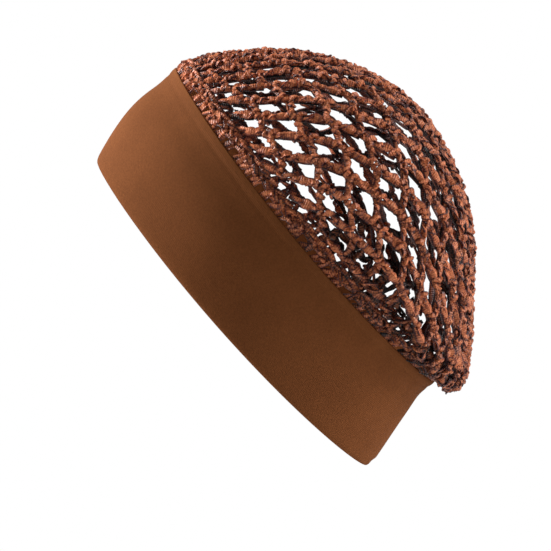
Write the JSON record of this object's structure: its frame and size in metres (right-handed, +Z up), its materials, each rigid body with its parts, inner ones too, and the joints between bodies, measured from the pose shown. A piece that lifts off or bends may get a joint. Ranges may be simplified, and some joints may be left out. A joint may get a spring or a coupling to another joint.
{
  "type": "mesh hair bonnet",
  "caption": "Worn hair bonnet with a wide smooth stretch-fabric headband and a slouching open crochet net crown.",
  "frame": {"origin": "centre of the head opening, in the middle of the headband's ring, where a head holds the bonnet", "axes": "+Z up as worn, -Y towards the forehead, +X towards the wearer's left; the band's plane dips 49.5 degrees from forehead to nape"},
  "size_m": [0.1642, 0.1964, 0.217],
  "materials": {
    "band_fabric": "smooth matte brown stretch jersey",
    "net_yarn": "flat satin ribbon yarn in dark reddish brown"
  },
  "bodies": {
    "root": {"band": "band_fabric", "net_edging": "net_yarn", "net_crown": "net_yarn"}
  },
  "joints": []
}
